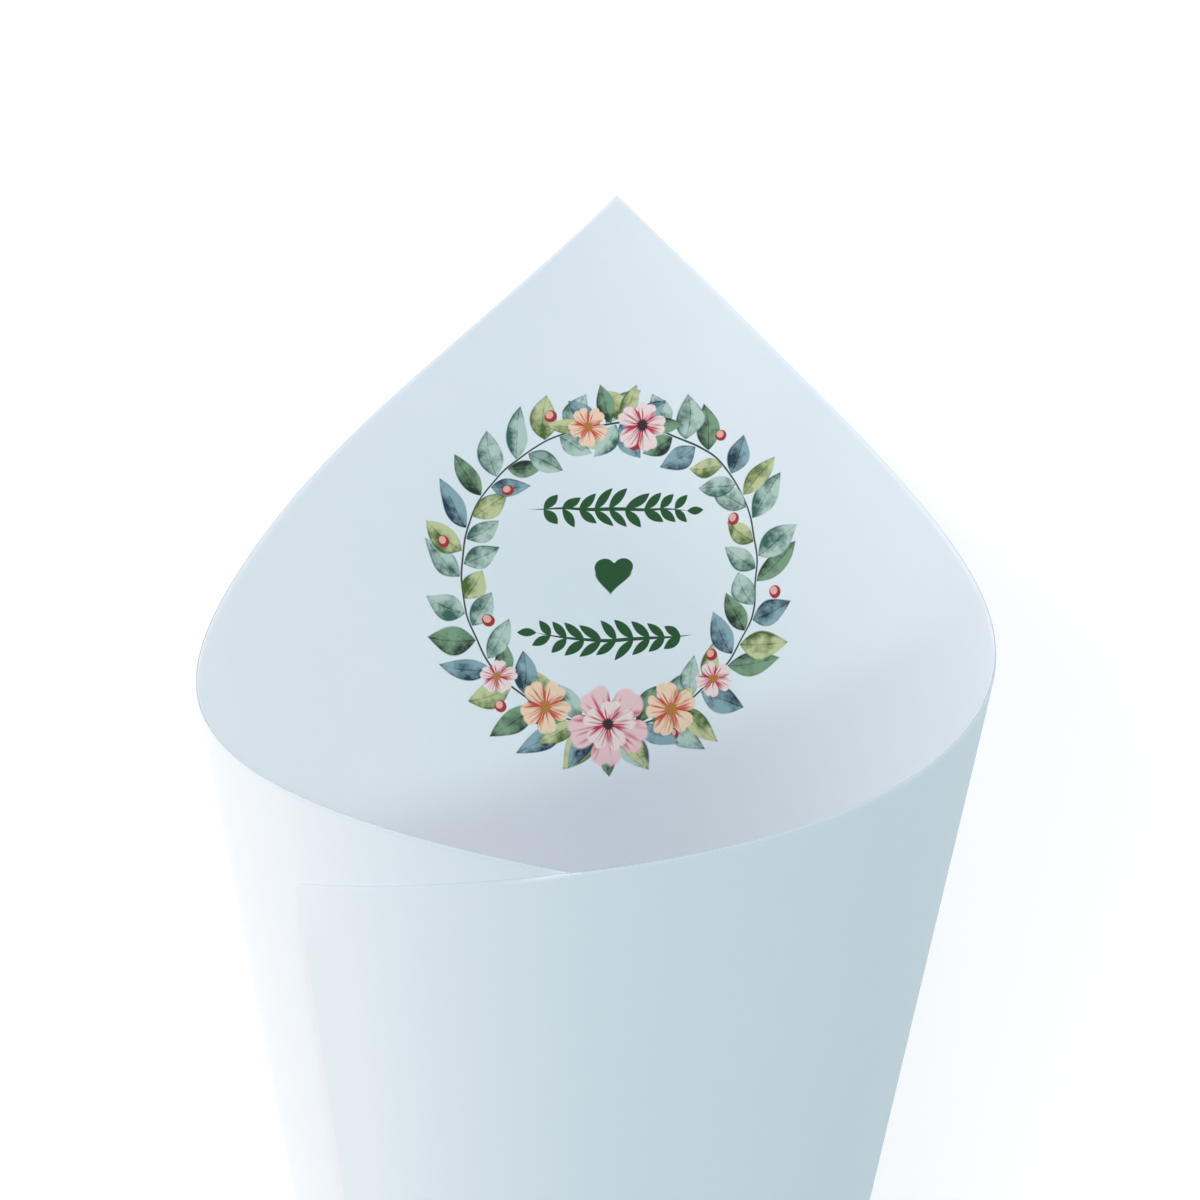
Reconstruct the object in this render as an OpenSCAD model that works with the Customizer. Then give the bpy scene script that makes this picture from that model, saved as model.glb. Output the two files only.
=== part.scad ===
// Paper confetti cone, rolled from one square sheet of card.
// The sheet turns about one corner, which becomes the closed tip. The opposite corner is the
// peak behind the mouth, and the two side corners lap over each other at the front.
// The cone lies on its back wall with the mouth towards +Y and the lap on top.

/* [Sheet] */
// Side of the square sheet
sheet_side = 150; // [120:1:210]
// Thickness of the card
sheet_t = 0.3; // [0.15:0.05:0.5]

/* [Roll] */
// Mean angle between the cone's axis and its wall, in degrees
half_angle = 11.5; // [10:0.1:13]
// Oval part of the cross-section, as a share of its radius: below 0 is wider than deep
oval = -0.023; // [-0.06:0.001:0.06]
// Egg shape of the cross-section, blunt end to the back
egg = 0.02; // [-0.03:0.001:0.03]
// Egg shape turned to one side
egg_lean = -0.014; // [-0.03:0.001:0.03]
// Square look of the cross-section, turned to one side
square_lean = -0.018; // [-0.03:0.001:0.03]
// Length over which the card closes to the point of the tip
tip_len = 6; // [3:1:15]

/* [Lap] */
// Space between the two layers of card in the lap
lap_gap = 0.08; // [0.04:0.01:0.2]
// How far round the outer layer climbs before it passes over the inner layer, in degrees
lap_climb = 45; // [25:5:60]
// Height that the free corner of the outer layer stands off
corner_lift = 0.4; // [0:0.1:1.5]
// Reach of that lift from the corner
corner_lift_reach = 22; // [10:1:40]

/* [Rest] */
// Side of the cone that it lies on, in degrees round from the peak
rest_azimuth = 24.375; // [0:0.125:45]
// Half the width of the flat spot that it lies on there, in degrees
rest_flat = 9.375; // [3:0.125:15]

/* [Detail] */
// Angle round the axis between two straight lines of the wall
facet_step = 3.75; // [2.5:1.25:7.5]
// Rows of facets from the tip to the cut edge
rows = 6; // [3:1:10]

/* [Hidden] */
corner_angle = 45;
// The outer layer is up at full height this far before the edge of the inner layer
lap_margin = 4;
// No column of facets is narrower than this share of the step
thinnest_column = 0.25;
lay_up = sheet_t + lap_gap;

function unit(v) = v / norm(v);

// Point of the cross-section for a height of 1, at an angle round from the peak
function point(a, radius) = [radius * sin(a), radius * cos(a), 1];

// Radius of the free cross-section
function round_section(a) =
    tan(half_angle) * (1 + oval * cos(2 * a) + egg * cos(3 * a)
                       + egg_lean * sin(3 * a) + square_lean * sin(4 * a));

// Normal of the flat spot, a plane through the tip and two lines of the free wall
rest_low = rest_azimuth - rest_flat;
rest_high = rest_azimuth + rest_flat;
rest_normal = unit(cross(point(rest_low, round_section(rest_low)),
                         point(rest_high, round_section(rest_high))));

// Radius of the cross-section with the flat spot in it
function section(a) =
    cos(a - rest_azimuth) > cos(rest_flat)
        ? -rest_normal.z / (rest_normal.x * sin(a) + rest_normal.y * cos(a))
        : round_section(a);

// Direction of the straight line of the wall that runs from the tip at angle a
function ray(a) = unit(point(a, section(a)));

// Outward normal of the wall at angle a
function out(a) = unit(cross(ray(a), ray(a + 0.1) - ray(a - 0.1)));

// Angle between two of the wall's lines, which is also their angle on the flat sheet
function between(a, b) = 2 * asin(norm(ray(b) - ray(a)) / 2);

function smooth(u) = let (v = min(1, max(0, u))) v * v * (3 - 2 * v);

// Angle on the flat sheet from its diagonal to each step round the cone, to one side
function swept(side) =
    [for (i = 0, sum = 0; i * facet_step < 400;
          sum = sum + between(side * i * facet_step, side * (i + 1) * facet_step), i = i + 1) sum];

// Columns on one side of the diagonal, each an angle round the cone and one on the flat sheet
function half_columns(side) =
    let (sums = swept(side),
         last = min([for (i = [1:len(sums) - 1]) if (sums[i] >= corner_angle) i]),
         part = (corner_angle - sums[last - 1]) / (sums[last] - sums[last - 1]),
         end = last - 1 + part)
    [for (i = [1:last - 1]) if (end - i > thinnest_column) [side * i * facet_step, side * sums[i]],
     [side * end * facet_step, side * corner_angle]];

function reversed(list) = [for (i = [len(list) - 1:-1:0]) list[i]];

inner_half = half_columns(-1);
outer_half = half_columns(1);
columns = concat(reversed(inner_half), [[0, 0]], outer_half);

// The inner layer's edge, seen from the outer layer, and the climb that ends before it
lap_edge = 360 + columns[0][0];
climb_end = lap_edge - lap_margin;

// Distance from the tip to the cut edge, at an angle on the flat sheet from its diagonal
function reach(flat) = sheet_side / cos(corner_angle - abs(flat));

// Rows lie closer together towards the cut edge
function row_at(flat, j) =
    let (u = j / (rows - 1)) tip_len + (reach(flat) - tip_len) * (1 - pow(1 - u, 1.5));

// How far the free corner's lift raises a point of the flat sheet
function lifted(flat, r) =
    flat <= 0 ? 0 :
    let (from_corner = norm(r * [sin(flat), cos(flat)]
                            - sheet_side * [sin(corner_angle), cos(corner_angle)]))
    corner_lift * (1 - smooth(from_corner / corner_lift_reach));

function standing_point(column, j, face) =
    let (a = column[0], flat = column[1], r = row_at(flat, j),
         climb = lay_up * smooth((a - climb_end + lap_climb) / lap_climb))
    ray(a) * r + out(a) * (climb + lifted(flat, r) + face * sheet_t);

// Points of the upright cone: the tip, then inside and outside for each row of each column
upright = concat([[0, 0, 0]],
                 [for (c = columns, j = [0:rows - 1], face = [0, 1]) standing_point(c, j, face)]);

// The normal of the flat spot points down once the cone lies on it
turn = atan2(rest_normal.x, rest_normal.y);
back_angle = asin(-rest_normal.z);

// Turns the resting side to the back, then lays the back down
function turned(p) = [p.x * cos(turn) - p.y * sin(turn), p.x * sin(turn) + p.y * cos(turn), p.z];
function laid(p) = [p.x, p.y * sin(back_angle) + p.z * cos(back_angle),
                    p.z * sin(back_angle) - p.y * cos(back_angle)];

lying = [for (p = upright) laid(turned(p))];
xs = [for (p = lying) p.x];
ys = [for (p = lying) p.y];
zs = [for (p = lying) p.z];
middle = [(min(xs) + max(xs)) / 2, (min(ys) + max(ys)) / 2, min(zs)];

function at(i, j, face) = 1 + (i * rows + j) * 2 + face;
function quad(a, b, c, d) = [[a, c, b], [a, d, c]];
function joined(lists) = [for (l = lists, x = l) x];

last_column = len(columns) - 1;
last_row = rows - 1;

tip_faces = joined([for (i = [0:last_column - 1])
    [[0, at(i, 0, 0), at(i + 1, 0, 0)], [0, at(i + 1, 0, 1), at(i, 0, 1)]]]);
wall_faces = joined([for (i = [0:last_column - 1], j = [0:last_row - 1]) concat(
    quad(at(i, j, 0), at(i + 1, j, 0), at(i + 1, j + 1, 0), at(i, j + 1, 0)),
    quad(at(i, j, 1), at(i, j + 1, 1), at(i + 1, j + 1, 1), at(i + 1, j, 1)))]);
rim_faces = joined([for (i = [0:last_column - 1])
    quad(at(i, last_row, 0), at(i + 1, last_row, 0), at(i + 1, last_row, 1), at(i, last_row, 1))]);

// The two straight side edges of the sheet, which run from the tip to the side corners
function side_faces(i, flip) =
    let (faces = concat([[0, at(i, 0, 1), at(i, 0, 0)]],
                        joined([for (j = [0:last_row - 1])
                            quad(at(i, j, 0), at(i, j + 1, 0), at(i, j + 1, 1), at(i, j, 1))])))
    [for (f = faces) flip ? reversed(f) : f];

module paper_cone() {
    color([0.84, 0.9, 0.94])
        translate(-middle)
            polyhedron(points = lying,
                       faces = concat(tip_faces, wall_faces, rim_faces,
                                      side_faces(0, false), side_faces(last_column, true)),
                       convexity = 6);
}

paper_cone();
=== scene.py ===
from bisect import bisect_right
from math import asin, atan2, cos, pi, radians, sin, tan

import bmesh
import bpy
from mathutils import Euler, Matrix, Vector, noise


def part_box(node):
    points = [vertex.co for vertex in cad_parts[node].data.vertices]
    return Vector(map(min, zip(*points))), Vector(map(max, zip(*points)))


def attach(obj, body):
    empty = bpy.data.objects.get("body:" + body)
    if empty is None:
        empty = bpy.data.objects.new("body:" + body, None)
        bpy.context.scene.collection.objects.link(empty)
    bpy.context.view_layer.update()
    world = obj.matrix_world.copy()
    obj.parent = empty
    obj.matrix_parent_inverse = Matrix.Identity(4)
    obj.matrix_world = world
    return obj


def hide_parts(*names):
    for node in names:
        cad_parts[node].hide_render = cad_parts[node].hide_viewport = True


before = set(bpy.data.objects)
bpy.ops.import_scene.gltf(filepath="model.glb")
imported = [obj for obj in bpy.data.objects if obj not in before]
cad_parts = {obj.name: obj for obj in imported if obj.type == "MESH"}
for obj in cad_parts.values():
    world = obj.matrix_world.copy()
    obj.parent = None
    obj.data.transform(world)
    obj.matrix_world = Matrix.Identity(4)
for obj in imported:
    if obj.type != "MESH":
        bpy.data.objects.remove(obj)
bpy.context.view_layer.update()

MM = 0.001
MM_PER_M = 1000

# ---- The card and its roll, in millimetres and degrees, as the solid has them ----
SHEET_SIDE = 150.0
SHEET_T = 0.3
HALF_ANGLE = 11.5
OVAL, EGG, EGG_LEAN, SQUARE_LEAN = -0.023, 0.02, -0.014, -0.018
TIP_LEN = 6.0
LAP_CLIMB = 45.0
LAP_MARGIN = 4.0
CORNER_ANGLE = 45.0
REST_AZIMUTH = 24.375
REST_FLAT = 9.375

# The two layers of the lap all but touch, where the solid keeps them further apart
LAP_GAP = 0.03
# Card is straighter towards the free edge of the lap, so that edge stands off a little
EDGE_LIFT = 0.25
EDGE_LIFT_REACH = 3.4
# That lift grows over this length from the tip, and fades over the last stretch to the corner
EDGE_LIFT_GROWS = 60.0
RIM_HOLD = 5.0
# The blade rounded the long cut edge by this much on both faces
RIM_ROUND = 0.09
# On the lap it is rounded on the outside alone, down to this share of the card's thickness,
# and pressed down by this much onto the layer below
RIM_PRESSED = 0.3
RIM_DOWN = 0.025
# Share of the length, from the rim, of each of the last two rows
RIM_ROW = 0.0016

# The edges of the flat spot are rounded off over this share of the height above the tip, and
# beyond this angle from its middle the section is free
FLAT_SOFTNESS = 0.0012
FLAT_REACH = 3 * REST_FLAT
# The card isn't quite even: it stands in and out by up to this much over a few centimetres.
# The waves grow over this length from the tip, and die out towards the line that it lies on
WAVE = 0.09
WAVE_LENGTH = 34.0
WAVE_GROWS = 80.0
WAVE_STEADY = 8

# Cells of the flat grid that is rolled, round the tip and from the tip to the rim
COLUMNS = 288
ROWS = 96
# Points closer than this are one point, in metres
WELD = 1e-7
# Weights of the column, the row and the side of the card in the order of the faces
FACE_ORDER = Vector((1, 1e6, 1e8))


def free_radius(a):
    """Radius of the free cross-section for a height of 1, at an azimuth in degrees."""
    t = radians(a)
    return tan(radians(HALF_ANGLE)) * (
        1 + OVAL * cos(2 * t) + EGG * cos(3 * t) + EGG_LEAN * sin(3 * t) + SQUARE_LEAN * sin(4 * t)
    )


def section_point(a, radius):
    """Point of the cross-section for a height of 1."""
    return Vector((radius * sin(radians(a)), radius * cos(radians(a)), 1))


rest_low, rest_high = REST_AZIMUTH - REST_FLAT, REST_AZIMUTH + REST_FLAT
rest_normal = section_point(rest_low, free_radius(rest_low)).cross(
    section_point(rest_high, free_radius(rest_high))
).normalized()


def section_radius(a):
    """Radius of the cross-section with the flat spot in it, its edges softened."""
    free = free_radius(a)
    t = radians(a)
    if cos(t - radians(REST_AZIMUTH)) < cos(radians(FLAT_REACH)):
        return free
    flat = -rest_normal.z / (rest_normal.x * sin(t) + rest_normal.y * cos(t))
    near = max(FLAT_SOFTNESS - abs(free - flat), 0) / FLAT_SOFTNESS
    return min(free, flat) - near * near * FLAT_SOFTNESS / 4


def ray(a):
    """Direction of the wall's straight line from the tip at an azimuth."""
    return section_point(a, section_radius(a)).normalized()


SLOPE_STEP = 0.1


def out(a):
    """Outward normal of the wall at an azimuth."""
    return ray(a).cross(ray(a + SLOPE_STEP) - ray(a - SLOPE_STEP)).normalized()


def smooth(u):
    """Soft step from 0 to 1 as u goes from 0 to 1."""
    u = min(1.0, max(0.0, u))
    return u * u * (3 - 2 * u)


# Step of azimuth, in degrees, with which the sheet is rolled up
ROLL_STEP = 0.25


def roll_table(side):
    """Flat angle of the sheet at each step of azimuth to one side of the peak."""
    flat, table, before = 0.0, [0.0], ray(0)
    while flat < CORNER_ANGLE:
        here = ray(side * len(table) * ROLL_STEP)
        flat += 2 * asin((here - before).length / 2) * 180 / pi
        table.append(flat)
        before = here
    return table


ROLL = {side: roll_table(side) for side in (-1, 1)}


def azimuth_of(flat):
    """Azimuth round the cone of a flat angle from the sheet's diagonal."""
    side = -1 if flat < 0 else 1
    table = ROLL[side]
    i = min(max(bisect_right(table, abs(flat)) - 1, 0), len(table) - 2)
    return side * ROLL_STEP * (i + (abs(flat) - table[i]) / (table[i + 1] - table[i]))


LAP_EDGE = 360 + azimuth_of(-CORNER_ANGLE)
CLIMB_END = LAP_EDGE - LAP_MARGIN
# Flat angle from which the outer layer lies on the inner one, and its fade. From there its cut
# edge is pressed down and has the finish of the outside
LAP_START = 35.5
LAP_FADE = 2


def reach(flat):
    """Distance from the tip to the cut edge at a flat angle."""
    return SHEET_SIDE / cos(radians(CORNER_ANGLE - abs(flat)))


def rolled(flat, share, face):
    """Place of a point of the card on the upright cone: face 0 is inside and 1 outside."""
    a, r = azimuth_of(flat), share * reach(flat)
    line = ray(a) * r
    raised = (SHEET_T + LAP_GAP) * smooth((a - CLIMB_END + LAP_CLIMB) / LAP_CLIMB)
    if flat > 0:
        from_edge = r * sin(radians(CORNER_ANGLE - flat))
        held = smooth((SHEET_SIDE - r) / RIM_HOLD)
        near = max(0, 1 - from_edge / EDGE_LIFT_REACH)
        raised += EDGE_LIFT * smooth(r / EDGE_LIFT_GROWS) * held * near ** 2
    if share > 1 - RIM_ROW / 2:
        on_lap = smooth((flat - LAP_START) / LAP_FADE)
        face = abs(face - RIM_ROUND / SHEET_T) * (1 - on_lap) + face * RIM_PRESSED * on_lap
        raised -= RIM_DOWN * on_lap
    steady = max(0.0, cos(radians(a - REST_AZIMUTH))) ** WAVE_STEADY
    wave = WAVE * noise.noise(line / WAVE_LENGTH) * smooth(r / WAVE_GROWS) * (1 - steady)
    return line + out(a) * ((raised + face * SHEET_T) * min(1, r / TIP_LEN) + wave)


# ---- The print's place on the flat sheet, in millimetres from the tip's corner ----
PRINT_CENTRE = Vector((0.6, 174.2))
PRINT_HALF = 20.4
# The print is painted in square tiles, each with a material that holds only what reaches it,
# because one material can't hold the whole wreath. The margin is for cells that cross two tiles
TILES = 4
TILE = 2 * PRINT_HALF / TILES
TILE_MARGIN = 1.8
# Numbers of the card's materials
INSIDE, OUTSIDE, CUT_EDGE, FIRST_TILE = range(4)


def tile_at(off):
    """Number of the print's tile that a point belongs to, or None off the print."""
    column, row = (int((k + PRINT_HALF) // TILE) for k in off)
    return row * TILES + column if 0 <= column < TILES and 0 <= row < TILES else None


def card_sheet():
    """The card with its thickness: a flat grid, thickened, then rolled and laid down."""
    bm = bmesh.new()
    bmesh.ops.create_grid(bm, x_segments=COLUMNS, y_segments=ROWS, size=1)
    for v in bm.verts:
        row = round((v.co.y + 1) / 2 * ROWS)
        rim_rows = ROWS - row
        share = row / (ROWS - 2) * (1 - 2 * RIM_ROW) if rim_rows > 2 else 1 - rim_rows * RIM_ROW
        v.co = Vector((v.co.x * CORNER_ANGLE, share, 0))
    outer = bmesh.ops.extrude_face_region(bm, geom=bm.faces[:], use_keep_orig=True)
    for v in outer["geom"]:
        if isinstance(v, bmesh.types.BMVert):
            v.co.z = 1
    # The cut edge's faces come in any order, so all are put in one: by face, row and column
    bm.faces.sort(key=lambda f: f.calc_center_median().dot(FACE_ORDER))

    sheet_map = bm.loops.layers.uv.new("sheet")
    for f in bm.faces:
        faces = {v.co.z for v in f.verts}
        middle = f.calc_center_median()
        r = middle.y * reach(middle.x)
        on_sheet = Vector((r * sin(radians(middle.x)), r * cos(radians(middle.x))))
        tile = tile_at(on_sheet - PRINT_CENTRE)
        if len(faces) > 1:
            f.material_index = OUTSIDE if middle.x > LAP_START else CUT_EDGE
        elif faces == {1.0}:
            f.material_index = OUTSIDE
        else:
            f.material_index = INSIDE if tile is None else FIRST_TILE + tile
        f.smooth = len(faces) == 1
        for loop in f.loops:
            flat, share = radians(loop.vert.co.x), loop.vert.co.y
            r = share * reach(loop.vert.co.x)
            loop[sheet_map].uv = (r * sin(flat) / MM_PER_M, r * cos(flat) / MM_PER_M)

    for v in bm.verts:
        v.co = rolled(v.co.x, v.co.y, v.co.z) * MM
    bmesh.ops.remove_doubles(bm, verts=bm.verts[:], dist=WELD)
    # The card's faces are smooth, and their borders with the cut edge are sharp
    for e in bm.edges:
        e.smooth = len({f.smooth for f in e.link_faces}) == 1

    # Turn the flat spot down and put the card where the solid lies
    turn = atan2(rest_normal.x, rest_normal.y)
    back = asin(-rest_normal.z)
    laid = Matrix.Rotation(back - pi / 2, 3, "X") @ Matrix.Rotation(turn, 3, "Z")
    bmesh.ops.rotate(bm, verts=bm.verts[:], cent=(0, 0, 0), matrix=laid)
    low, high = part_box("paper_cone")
    own_low = Vector([min(v.co[k] for v in bm.verts) for k in range(3)])
    own_high = Vector([max(v.co[k] for v in bm.verts) for k in range(3)])
    shift = (low + high - own_low - own_high) / 2
    shift.z = low.z - own_low.z
    bmesh.ops.translate(bm, verts=bm.verts[:], vec=shift)
    if bm.calc_volume(signed=True) < 0:
        bmesh.ops.reverse_faces(bm, faces=bm.faces[:])

    mesh = bpy.data.meshes.new("rolled_card")
    bm.to_mesh(mesh)
    bm.free()
    piece = bpy.data.objects.new("rolled_card", mesh)
    bpy.context.collection.objects.link(piece)
    return piece


# ---- Materials ----
def new_group(name, inputs, outputs):
    """A shader node group with named sockets; returns it with its two end nodes."""
    group = bpy.data.node_groups.new(name, "ShaderNodeTree")
    for label, kind, value in inputs:
        socket = group.interface.new_socket(label, in_out="INPUT", socket_type="NodeSocket" + kind)
        if value is not None:
            socket.default_value = value
    for label, kind in outputs:
        group.interface.new_socket(label, in_out="OUTPUT", socket_type="NodeSocket" + kind)
    return group, group.nodes.new("NodeGroupInput"), group.nodes.new("NodeGroupOutput")


class Wiring:
    """Short calls for adding nodes to one tree."""

    def __init__(self, tree):
        self.tree = tree

    def put(self, socket, value):
        if isinstance(value, bpy.types.NodeSocket):
            self.tree.links.new(value, socket)
        elif value is not None:
            if socket.type == "RGBA" and len(value) == 3:
                value = (*value, 1)
            socket.default_value = value

    def node(self, kind, **values):
        n = self.tree.nodes.new("ShaderNode" + kind)
        for k, v in values.items():
            setattr(n, k, v)
        return n

    def math(self, operation, a, b=None, c=None, clamp=False):
        n = self.node("Math", operation=operation, use_clamp=clamp)
        for socket, value in zip(n.inputs, (a, b, c)):
            self.put(socket, value)
        return n.outputs[0]

    def mix(self, factor, a, b, blend="MIX"):
        n = self.node("Mix", data_type="RGBA", blend_type=blend)
        self.put(n.inputs["Factor"], factor)
        self.put(n.inputs["A"], a)
        self.put(n.inputs["B"], b)
        return n.outputs["Result"]

    def noise(self, vector, scale, detail=2.0, rough=0.5, colour=False):
        n = self.node("TexNoise")
        self.put(n.inputs["Vector"], vector)
        n.inputs["Scale"].default_value = scale
        n.inputs["Detail"].default_value = detail
        n.inputs["Roughness"].default_value = rough
        return n.outputs["Color" if colour else "Fac"]

    def group(self, group, **values):
        n = self.node("Group", node_tree=group)
        for k, v in values.items():
            self.put(n.inputs[k.replace("_", " ")], v)
        return n


def paper_fibre_group():
    """Mottle and tooth of smooth white card, both about 0.5. Scales are per metre."""
    group, start, end = new_group(
        "paper_fibre", [("Place", "Vector", None)], [("Mottle", "Float"), ("Tooth", "Float")]
    )
    w = Wiring(group)
    place = start.outputs["Place"]
    cloud = w.noise(place, 45, detail=3, rough=0.55)
    speck = w.noise(place, 900, detail=2, rough=0.6)
    w.put(end.inputs["Mottle"], w.math("MULTIPLY_ADD", speck, 0.3, w.math("MULTIPLY", cloud, 0.7)))
    fine = w.noise(place, 2600, detail=3, rough=0.65)
    felt = w.noise(place, 520, detail=2, rough=0.5)
    w.put(end.inputs["Tooth"], w.math("MULTIPLY_ADD", felt, 0.45, w.math("MULTIPLY", fine, 0.55)))
    return group


def leaf_group():
    """Paints one leaf over what is under it. The leaf starts at At and points along Turn."""
    group, start, end = new_group(
        "painted_leaf",
        [
            ("Under", "Color", None), ("Place", "Vector", None), ("At", "Vector", None),
            ("Turn", "Vector", None), ("Size", "Vector", None), ("Bend", "Float", 0.0),
            ("Belly", "Float", 0.0), ("Wash", "Float", 0.5), ("Light", "Color", None),
            ("Dark", "Color", None),
        ],
        [("Painted", "Color")],
    )
    w = Wiring(group)
    i = start.outputs
    fit = w.node("Mapping", vector_type="TEXTURE")
    w.put(fit.inputs["Vector"], i["Place"])
    w.put(fit.inputs["Location"], i["At"])
    w.put(fit.inputs["Rotation"], i["Turn"])
    w.put(fit.inputs["Scale"], i["Size"])
    parts = w.node("SeparateXYZ")
    w.put(parts.inputs[0], fit.outputs[0])
    along, across = parts.outputs["X"], parts.outputs["Y"]
    hump = w.math("MULTIPLY", along, w.math("SUBTRACT", 1.0, along))
    across = w.math("MULTIPLY_ADD", i["Bend"], hump, across)
    wide = w.math("ABSOLUTE", across)
    # Half width: 1 at the belly, which Belly moves from the stalk (above 0) to the point (below 0)
    taper = w.math("MULTIPLY_ADD", w.math("SUBTRACT", 0.5, along), i["Belly"], 4.0)
    half = w.math("MULTIPLY", hump, w.math("MAXIMUM", taper, 1.0))
    inside = w.math("SUBTRACT", half, wide)
    mask = w.math("MULTIPLY", inside, 9.0, clamp=True)
    rib = w.math("MULTIPLY_ADD", wide, -14.0, 1.0, clamp=True)
    rim = w.math("MULTIPLY_ADD", inside, -4.5, 1.0, clamp=True)
    side = w.math("MULTIPLY_ADD", across, 0.6, 0.5)
    tone = w.math("MULTIPLY_ADD", along, -0.4, side)
    tone = w.math("MULTIPLY_ADD", w.math("SUBTRACT", i["Wash"], 0.5), 3.4, tone)
    tone = w.math("MULTIPLY_ADD", rim, 0.7, tone)
    tone = w.math("MULTIPLY_ADD", rib, 0.45, tone, clamp=True)
    paint = w.mix(tone, i["Light"], i["Dark"])
    w.put(end.inputs["Painted"], w.mix(mask, i["Under"], paint))
    return group


def blossom_group():
    """Paints one blossom of five pale petals, deeper and streaked towards its dark heart."""
    group, start, end = new_group(
        "painted_blossom",
        [
            ("Under", "Color", None), ("Place", "Vector", None), ("At", "Vector", None),
            ("Turn", "Vector", None), ("Size", "Vector", None), ("Wash", "Float", 0.5),
            ("Pale", "Color", None), ("Deep", "Color", None), ("Heart", "Color", None),
        ],
        [("Painted", "Color")],
    )
    w = Wiring(group)
    i = start.outputs
    fit = w.node("Mapping", vector_type="TEXTURE")
    w.put(fit.inputs["Vector"], i["Place"])
    w.put(fit.inputs["Location"], i["At"])
    w.put(fit.inputs["Rotation"], i["Turn"])
    w.put(fit.inputs["Scale"], i["Size"])
    parts = w.node("SeparateXYZ")
    w.put(parts.inputs[0], fit.outputs[0])
    length = w.node("VectorMath", operation="LENGTH")
    w.put(length.inputs[0], fit.outputs[0])
    r = length.outputs["Value"]
    turn = w.math("MULTIPLY", w.math("ARCTAN2", parts.outputs["Y"], parts.outputs["X"]),
                  5 / (2 * pi))
    petal = w.math("FRACT", turn)
    off = w.math("ABSOLUTE", w.math("SUBTRACT", petal, 0.5))
    # Petal outline: round, with a small notch in the middle and a deep one between two petals
    round_off = w.math("MULTIPLY", off, off)
    edge = w.math("MULTIPLY_ADD", w.math("MULTIPLY", round_off, round_off), -7.0,
                  w.math("MULTIPLY_ADD", w.math("MULTIPLY_ADD", off, -9.0, 1.0, clamp=True),
                         -0.07, 1.0))
    edge = w.math("MULTIPLY_ADD", w.math("SUBTRACT", i["Wash"], 0.5), 0.25, edge)
    inside = w.math("SUBTRACT", edge, r)
    mask = w.math("MULTIPLY", inside, 14.0, clamp=True)
    streak = w.node("TexNoise", noise_dimensions="2D")
    fan = w.node("CombineXYZ")
    w.put(fan.inputs["X"], w.math("MULTIPLY", turn, 7.0))
    w.put(fan.inputs["Y"], w.math("MULTIPLY", r, 1.2))
    w.put(streak.inputs["Vector"], fan.outputs[0])
    streak.inputs["Scale"].default_value = 1.0
    streak.inputs["Detail"].default_value = 1.0
    # Deep colour near the heart, in the folds between petals, and in a thin line round the rim
    deep = w.math("MULTIPLY_ADD", r, -1.5, 0.98)
    deep = w.math("MULTIPLY_ADD", w.math("SUBTRACT", streak.outputs["Fac"], 0.5), 2.6, deep)
    deep = w.math("MULTIPLY_ADD", w.math("MULTIPLY_ADD", petal, -3.4, 1.0, clamp=True), 0.55, deep)
    deep = w.math("MULTIPLY_ADD", w.math("MULTIPLY_ADD", off, 14.0, -6.0, clamp=True), 0.9, deep)
    deep = w.math("MULTIPLY_ADD", w.math("MULTIPLY_ADD", inside, -18.0, 1.0, clamp=True), 0.55,
                  deep, clamp=True)
    colour = w.mix(deep, i["Pale"], i["Deep"])
    dots = w.math("MULTIPLY_ADD", w.math("COSINE", w.math("MULTIPLY", turn, 6 * pi)), 0.035, 0.24)
    heart = w.math("MULTIPLY", w.math("SUBTRACT", dots, r), 22.0, clamp=True)
    colour = w.mix(heart, colour, i["Heart"])
    w.put(end.inputs["Painted"], w.mix(mask, i["Under"], colour))
    return group


def stroke_group():
    """Paints a thin ring, such as the stem, or a dot where the radius is 0."""
    group, start, end = new_group(
        "painted_ring",
        [
            ("Under", "Color", None), ("Place", "Vector", None), ("At", "Vector", None),
            ("Radius", "Float", 1.0), ("Half Width", "Float", 0.1), ("Ink", "Color", None),
        ],
        [("Painted", "Color")],
    )
    w = Wiring(group)
    i = start.outputs
    off = w.node("VectorMath", operation="DISTANCE")
    w.put(off.inputs[0], i["Place"])
    w.put(off.inputs[1], i["At"])
    away = w.math("ABSOLUTE", w.math("SUBTRACT", off.outputs["Value"], i["Radius"]))
    mask = w.math("MULTIPLY", w.math("SUBTRACT", i["Half Width"], away), 22.0, clamp=True)
    w.put(end.inputs["Painted"], w.mix(mask, i["Under"], i["Ink"]))
    return group


# The two colours that the card's mottle runs between, on its faces and on its cut edge. The cut
# edge's pair is much darker than the card: cut fibre is a little greyer, and the rest is painted
# shade that keeps the lit edge from showing as a light line
CARD_WHITE = (0.86, 0.905, 0.93)
CARD_SHADE = (0.835, 0.885, 0.92)
CUT_PALE_AND_PAINTED_SHADE = (0.52, 0.58, 0.63)
CUT_DARK_AND_PAINTED_SHADE = (0.45, 0.51, 0.56)
# Roughness and strength of the tooth, on the same
CARD_ROUGH, CARD_TOOTH = 0.62, 0.5
CUT_ROUGH, CUT_TOOTH = 0.85, 0.9
# How far the roughness varies with the tooth, how deep the tooth is in metres, and the card's gloss
ROUGH_SPREAD = 0.12
TOOTH_DEPTH = 0.00003
CARD_GLOSS = 0.3


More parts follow.
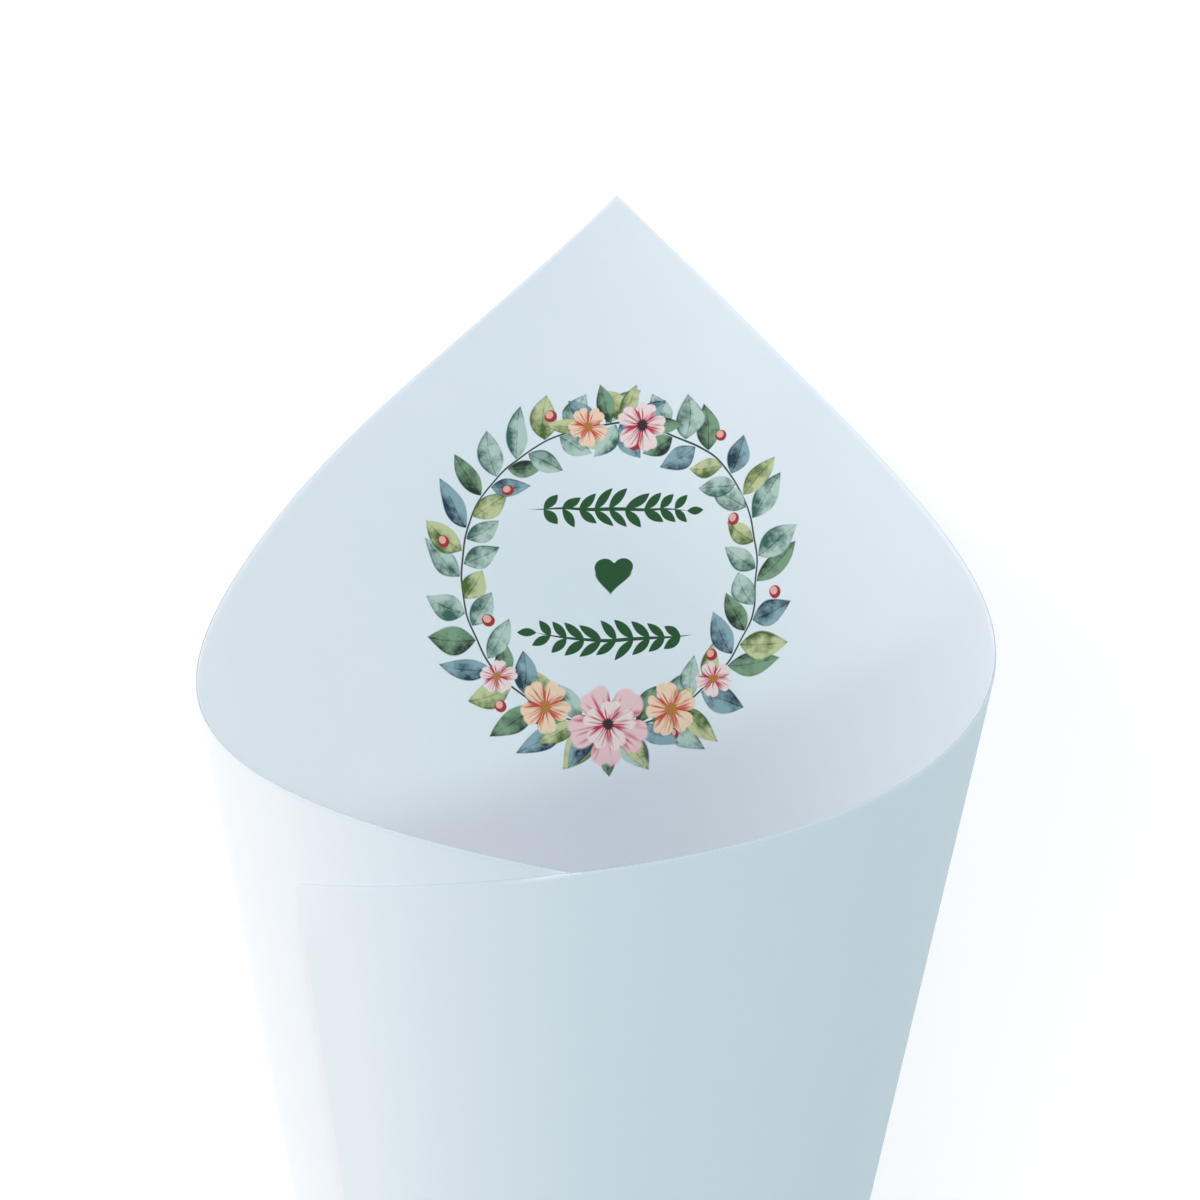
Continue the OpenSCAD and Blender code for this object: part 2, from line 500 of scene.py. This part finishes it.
def card_material(name, white, shade, roughness, tooth, fibre, paint=None):
    """Matte card: mottled base colour, a little tooth, and a print where paint gives one."""
    material = bpy.data.materials.new(name)
    material.use_nodes = True
    tree = material.node_tree
    tree.nodes.clear()
    w = Wiring(tree)
    place = w.node("TexCoord").outputs["Object"]
    grain = w.group(fibre, Place=place)
    colour = w.mix(grain.outputs["Mottle"], shade, white)
    if paint:
        colour = paint(w, colour)
    shader = w.node("BsdfPrincipled")
    w.put(shader.inputs["Base Color"], colour)
    w.put(shader.inputs["Roughness"], w.math("MULTIPLY_ADD", grain.outputs["Tooth"], ROUGH_SPREAD,
                                             roughness - ROUGH_SPREAD / 2))
    shader.inputs["Specular IOR Level"].default_value = CARD_GLOSS
    bump = w.node("Bump")
    bump.inputs["Strength"].default_value = tooth
    bump.inputs["Distance"].default_value = TOOTH_DEPTH
    w.put(bump.inputs["Height"], grain.outputs["Tooth"])
    w.put(shader.inputs["Normal"], bump.outputs[0])
    w.put(w.node("OutputMaterial").inputs["Surface"], shader.outputs[0])
    return material


# Inks of the print: a pair is the light and the dark of one wash
SAGE = ((0.50, 0.65, 0.57), (0.035, 0.125, 0.095))
TEAL = ((0.27, 0.43, 0.47), (0.008, 0.036, 0.066))
OLIVE = ((0.60, 0.64, 0.34), (0.075, 0.135, 0.030))
FOREST = ((0.21, 0.36, 0.22), (0.005, 0.026, 0.014))
STEM = (0.030, 0.060, 0.050)
MIDDLE_INK = (0.014, 0.082, 0.026)
PINK = ((0.95, 0.76, 0.74), (0.56, 0.035, 0.075))
ROSE = ((0.93, 0.62, 0.63), (0.58, 0.040, 0.095))
PEACH = ((0.96, 0.70, 0.50), (0.64, 0.075, 0.045))
HEART = (0.035, 0.012, 0.022)
GOLD = (0.50, 0.20, 0.04)
BERRY = ((0.86, 0.46, 0.38), (0.40, 0.03, 0.04))

WREATH_RADIUS = 14.8
LEAVES_PER_SIDE = 16
BERRIES = 12
SPRIG_PAIRS = 9


def spread(k, salt):
    """An even-looking share from 0 to 1 for the k-th thing of a kind."""
    return (k * 0.6180339887 + salt * 0.3819) % 1


def wreath():
    """What the print shows, from the back to the front: (group, place, reach, values) each.

    A round wreath of lance leaves, blossoms and berries, with a heart and two sprigs in it.
    Lengths are in millimetres on the flat sheet, and angles in radians from its right.
    """
    painted = []

    def leaf(angle, radius, heading, length, width, inks, bend=0.0, belly=2.0):
        """A leaf that starts at an angle round the wreath and points along its heading."""
        at = Vector((radius * cos(angle), radius * sin(angle), 0))
        middle = at + Vector((cos(heading), sin(heading), 0)) * length / 2
        values = dict(At=at, Turn=(0, 0, heading), Size=(length, width, 1), Bend=bend, Belly=belly,
                      Light=inks[0], Dark=inks[1])
        painted.append((leaves, middle.to_2d(), length / 2 + width, values))

    def blossom(angle, radius, size, inks, heart, turn):
        at = Vector((radius * cos(angle), radius * sin(angle), 0))
        values = dict(At=at, Turn=(0, 0, turn), Size=(size, size, 1), Pale=inks[0], Deep=inks[1],
                      Heart=heart)
        painted.append((blossoms, at.to_2d(), size * 1.1, values))

    def ring(x, y, radius, half_width, ink):
        """A ring, or a dot of that half width where the radius is 0."""
        values = dict(At=(x, y, 0), Radius=radius, Half_Width=half_width, Ink=ink)
        painted.append((strokes, Vector((x, y)), radius, values))

    def pen(x, y, heading, length, width, bow=0.0, belly=0.6):
        """A tapered stroke of the pen in one ink, which may bow to one side."""
        at = Vector((x, y, 0))
        middle = at + Vector((cos(heading), sin(heading), 0)) * length / 2
        values = dict(At=at, Turn=(0, 0, heading), Size=(length, width, 1), Bend=bow / width,
                      Belly=belly, Light=MIDDLE_INK, Dark=MIDDLE_INK)
        painted.append((leaves, middle.to_2d(), length / 2 + width + abs(bow), values))

    ring(0, 0, WREATH_RADIUS, 0.11, STEM)
    # Leaves climb both sides of the ring from its foot to its top
    for side in (-1, 1):
        for k in range(LEAVES_PER_SIDE):
            climb = (k + 0.5 + 0.35 * (spread(k, side) - 0.5)) / LEAVES_PER_SIDE
            angle = -pi / 2 + side * pi * climb
            forward = angle + side * pi / 2
            inks = (SAGE, TEAL, SAGE, OLIVE, FOREST)[int(5 * spread(k, 3 + side))]
            length = 4.7 + 1.3 * spread(k, 1) - 0.8 * climb
            leaf(angle, WREATH_RADIUS + 0.1, forward - side * (0.7 + 0.5 * spread(k, 2)),
                 length, 1.0 + 0.45 * spread(k, 5), inks, bend=side * 0.5)
            leaf(angle + side * 0.09, WREATH_RADIUS - 0.1,
                 forward + side * (0.65 + 0.5 * spread(k, 4)), length * 0.8,
                 0.9 + 0.35 * spread(k, 6),
                 (FOREST, SAGE, TEAL, SAGE, OLIVE)[int(5 * spread(k, 7 + side))],
                 bend=-side * 0.5)
    # Berries on the stem between them
    for k in range(BERRIES):
        angle = radians(22 + 30 * k)
        radius = WREATH_RADIUS + (2.1 if k % 2 else -1.8)
        x, y = radius * cos(angle), radius * sin(angle)
        ring(x, y, 0, 0.62, BERRY[1])
        ring(x - 0.12, y + 0.14, 0, 0.40, BERRY[0])
    # A large group of blossoms at the foot and a small one at the top
    foot, top = -pi / 2, pi / 2
    for k in range(9):
        heading = foot + (k - 4) * 0.56
        leaf(foot + (k - 4) * 0.09, WREATH_RADIUS, heading, 5.2 - 0.2 * abs(k - 4), 0.95,
             (TEAL, FOREST, OLIVE)[k % 3], belly=1.0)
    blossom(foot - 0.44, WREATH_RADIUS - 0.3, 2.6, PEACH, GOLD, 0.4)
    blossom(foot + 0.43, WREATH_RADIUS - 0.2, 2.7, PEACH, GOLD, 1.1)
    blossom(foot, WREATH_RADIUS - 0.1, 4.1, ROSE, HEART, 0.25)
    blossom(foot, WREATH_RADIUS - 0.1, 2.6, PINK, HEART, 0.88)
    blossom(foot - 0.80, WREATH_RADIUS + 0.2, 1.8, PINK, GOLD, 0.9)
    blossom(foot + 0.79, WREATH_RADIUS + 0.1, 1.9, PINK, GOLD, 0.1)
    for k in range(6):
        leaf(top + (k - 2.5) * 0.07, WREATH_RADIUS, top + (k - 2.5) * 0.62, 4.2, 0.85,
             (FOREST, TEAL, OLIVE)[k % 3], belly=1.0)
    blossom(top - 0.17, WREATH_RADIUS - 0.1, 2.5, PINK, HEART, 0.7)
    blossom(top + 0.19, WREATH_RADIUS + 0.1, 2.0, PEACH, GOLD, 0.2)
    # In the middle a small heart between two sprigs that run opposite ways, in one ink
    pen(0, -2.1, pi / 2, 3.3, 1.62, belly=-6.0)
    for side in (-1, 1):
        ring(side * 0.86, 0.62, 0, 0.98, MIDDLE_INK)
    for over in (-1, 1):
        heading = pi / 2 - over * pi / 2
        pen(-over * 8.4, over * 6.0, heading, 16.2, 0.19, bow=-1.6)
        for k in range(SPRIG_PAIRS):
            x = -6.9 + 1.6 * k
            y = over * (6.0 + 0.4 * (1 - (x / 8.2) ** 2))
            for up in (-1, 1):
                lean = 0.55 + 0.35 * spread(2 * k + up, over)
                pen(over * x, y, heading + up * lean,
                    1.75 + 0.75 * sin(pi * (k + 0.5) / SPRIG_PAIRS) + 0.3 * spread(k, 4 + up),
                    0.47)
        pen(over * 7.3, over * 6.05, heading, 1.9, 0.44)
    return painted


def reaches(tile, group, middle, reach):
    """Whether what is painted round a point reaches a tile and its margin."""
    half = TILE / 2 + TILE_MARGIN
    centre = Vector((tile % TILES + 0.5, tile // TILES + 0.5)) * TILE
    centre -= Vector((PRINT_HALF, PRINT_HALF))
    off = middle - centre
    near = Vector((max(abs(off.x) - half, 0), max(abs(off.y) - half, 0)))
    # A ring is empty in the middle, so it must also pass within 1 mm of the tile
    if group is strokes:
        far = Vector((abs(off.x) + half, abs(off.y) + half))
        return near.length < reach + 1 and far.length > reach - 1
    return near.length < reach


def painter(tile):
    """Gives the function that paints one tile's share of the print over the card's colour."""
    def paint(w, colour):
        centre = w.node("Mapping", vector_type="POINT")
        w.put(centre.inputs["Vector"], w.node("UVMap", uv_map="sheet").outputs[0])
        centre.inputs["Scale"].default_value = (MM_PER_M, MM_PER_M, 0)
        centre.inputs["Location"].default_value = (-PRINT_CENTRE.x, -PRINT_CENTRE.y, 0)
        place = centre.outputs[0]
        wash = w.noise(place, 0.6, detail=3, rough=0.6)
        # The hand isn't quite steady: every outline wanders by up to 0.4 mm
        nudge = w.node("VectorMath", operation="MULTIPLY_ADD")
        w.put(nudge.inputs[0], w.noise(place, 0.24, detail=0, colour=True))
        nudge.inputs[1].default_value = (0.8, 0.8, 0)
        nudge.inputs[2].default_value = (-0.4, -0.4, 0)
        drawn = w.node("VectorMath", operation="ADD")
        w.put(drawn.inputs[0], place)
        w.put(drawn.inputs[1], nudge.outputs[0])
        for group, middle, reach, values in WREATH:
            if reaches(tile, group, middle, reach):
                if group is not strokes:
                    values = dict(values, Wash=wash)
                stroke = w.group(group, Under=colour, Place=drawn.outputs[0], **values)
                colour = stroke.outputs[0]
        return colour
    return paint


leaves, blossoms, strokes = leaf_group(), blossom_group(), stroke_group()
fibre = paper_fibre_group()
WREATH = wreath()

cone = card_sheet()
face_finish = (CARD_WHITE, CARD_SHADE, CARD_ROUGH, CARD_TOOTH, fibre)
for material in (
    card_material("card_inside", *face_finish),
    card_material("card_outside", *face_finish),
    # The cut edge gets the darker pair, most of whose darkness is painted shade
    card_material("card_cut_edge", CUT_PALE_AND_PAINTED_SHADE, CUT_DARK_AND_PAINTED_SHADE, CUT_ROUGH, CUT_TOOTH, fibre),
    *(
        card_material(f"card_print_{tile}", *face_finish, painter(tile))
        for tile in range(TILES * TILES)
    ),
):
    cone.data.materials.append(material)
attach(cone, "root")
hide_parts("paper_cone")


# ---- Floor, light and camera ----
# The floor's colour for light on the object, and its colour and glow as the camera sees it:
# together they are white, and leave room for a faint shadow
FLOOR_HALF = 6
FLOOR_PALE = (0.80, 0.82, 0.84)
FLOOR_SEEN = (0.36, 0.36, 0.36)
FLOOR_GLOW = 0.76
# The room's light from the right and all round, and from straight left
ROOM = (0.335, 0.390, 0.478)
ROOM_LEFT = (0.538, 0.680, 0.722)
WHITE = (1, 1, 1)


def seen_directly(w):
    """1 for what the camera sees, straight or in gloss or glass, and 0 for light on the object."""
    seen = w.node("LightPath").outputs
    return w.math("MAXIMUM", seen["Is Camera Ray"],
                  w.math("MAXIMUM", seen["Is Glossy Ray"], seen["Is Transmission Ray"]))


def floor_plane():
    bm = bmesh.new()
    bmesh.ops.create_grid(bm, x_segments=2, y_segments=2, size=FLOOR_HALF)
    mesh = bpy.data.meshes.new("floor")
    bm.to_mesh(mesh)
    bm.free()
    floor = bpy.data.objects.new("floor", mesh)
    bpy.context.collection.objects.link(floor)
    material = bpy.data.materials.new("pale_floor")
    material.use_nodes = True
    tree = material.node_tree
    w = Wiring(tree)
    shader = tree.nodes["Principled BSDF"]
    direct = seen_directly(w)
    w.put(shader.inputs["Base Color"], w.mix(direct, FLOOR_PALE, FLOOR_SEEN))
    shader.inputs["Roughness"].default_value = 0.9
    shader.inputs["Specular IOR Level"].default_value = 0.0
    w.put(shader.inputs["Emission Color"], WHITE)
    w.put(shader.inputs["Emission Strength"], w.math("MULTIPLY", direct, FLOOR_GLOW))
    mesh.materials.append(material)
    return floor


def soft_box(name, azimuth, elevation, size, watts):
    """A square soft box aimed at the mouth, from an azimuth and an elevation in degrees.

    They are measured to the right and up from the camera. watts has a number for each colour.
    """
    across, up = radians(azimuth), radians(elevation)
    toward = sin(across) * cos(up) * RIGHT + sin(up) * UP + cos(across) * cos(up) * BACK
    data = bpy.data.lights.new(name, "AREA")
    data.size = size
    data.energy = max(watts)
    data.color = [v / max(watts) for v in watts]
    lamp = bpy.data.objects.new(name, data)
    lamp.location = AIM + toward.normalized() * BOX_DISTANCE
    lamp.rotation_euler = toward.to_track_quat("Z", "Y").to_euler()
    bpy.context.collection.objects.link(lamp)


# The camera's axes, from which the directions of the light are measured
RIGHT = Vector((0.88362, 0.10788, -0.45561))
UP = Vector((-0.03506, 0.98561, 0.16537))
BACK = Vector((0.46689, -0.13015, 0.87468))
# What the soft boxes are aimed at, and how far they stand from it
AIM = Vector((0, 0.05, 0.03))
BOX_DISTANCE = 1.0

floor = floor_plane()

soft_box("left_low_box", -90, -20, 0.4, (2.97, 2.18, 1.60))
soft_box("left_high_box", -90, 35, 0.5, (2.92, 2.55, 2.32))
soft_box("front_left_box", -40, -20, 0.3, (1.38, 1.10, 1.25))
soft_box("front_box", 22, -1, 0.1, (1.22, 1.70, 1.39))
soft_box("far_box", 80, 80, 0.3, (5.94, 4.94, 4.86))

# An even room, a little brighter on the left, that the camera sees as white
world = bpy.data.worlds.new("pale_room")
bpy.context.scene.world = world
world.use_nodes = True
w = Wiring(world.node_tree)
leftward = w.node("VectorMath", operation="DOT_PRODUCT")
w.put(leftward.inputs[0], w.node("TexCoord").outputs["Generated"])
leftward.inputs[1].default_value = -RIGHT
left = w.math("MAXIMUM", leftward.outputs["Value"], 0.0)
room = w.mix(left, ROOM, ROOM_LEFT)
w.put(world.node_tree.nodes["Background"].inputs["Color"], w.mix(seen_directly(w), room, WHITE))

# The camera looks into the mouth over the lap, as in the photograph
camera_data = bpy.data.cameras.new("camera")
camera_data.lens = 105
camera_data.sensor_width = 36
camera_data.clip_start = 0.01
camera = bpy.data.objects.new("camera", camera_data)
camera.location = (0.14338, 0.02122, 0.29825)
camera.rotation_euler = Euler((radians(10.706), radians(27.104), radians(6.961)), "XYZ")
bpy.context.collection.objects.link(camera)
bpy.context.scene.camera = camera
bpy.context.scene.view_settings.view_transform = "Standard"
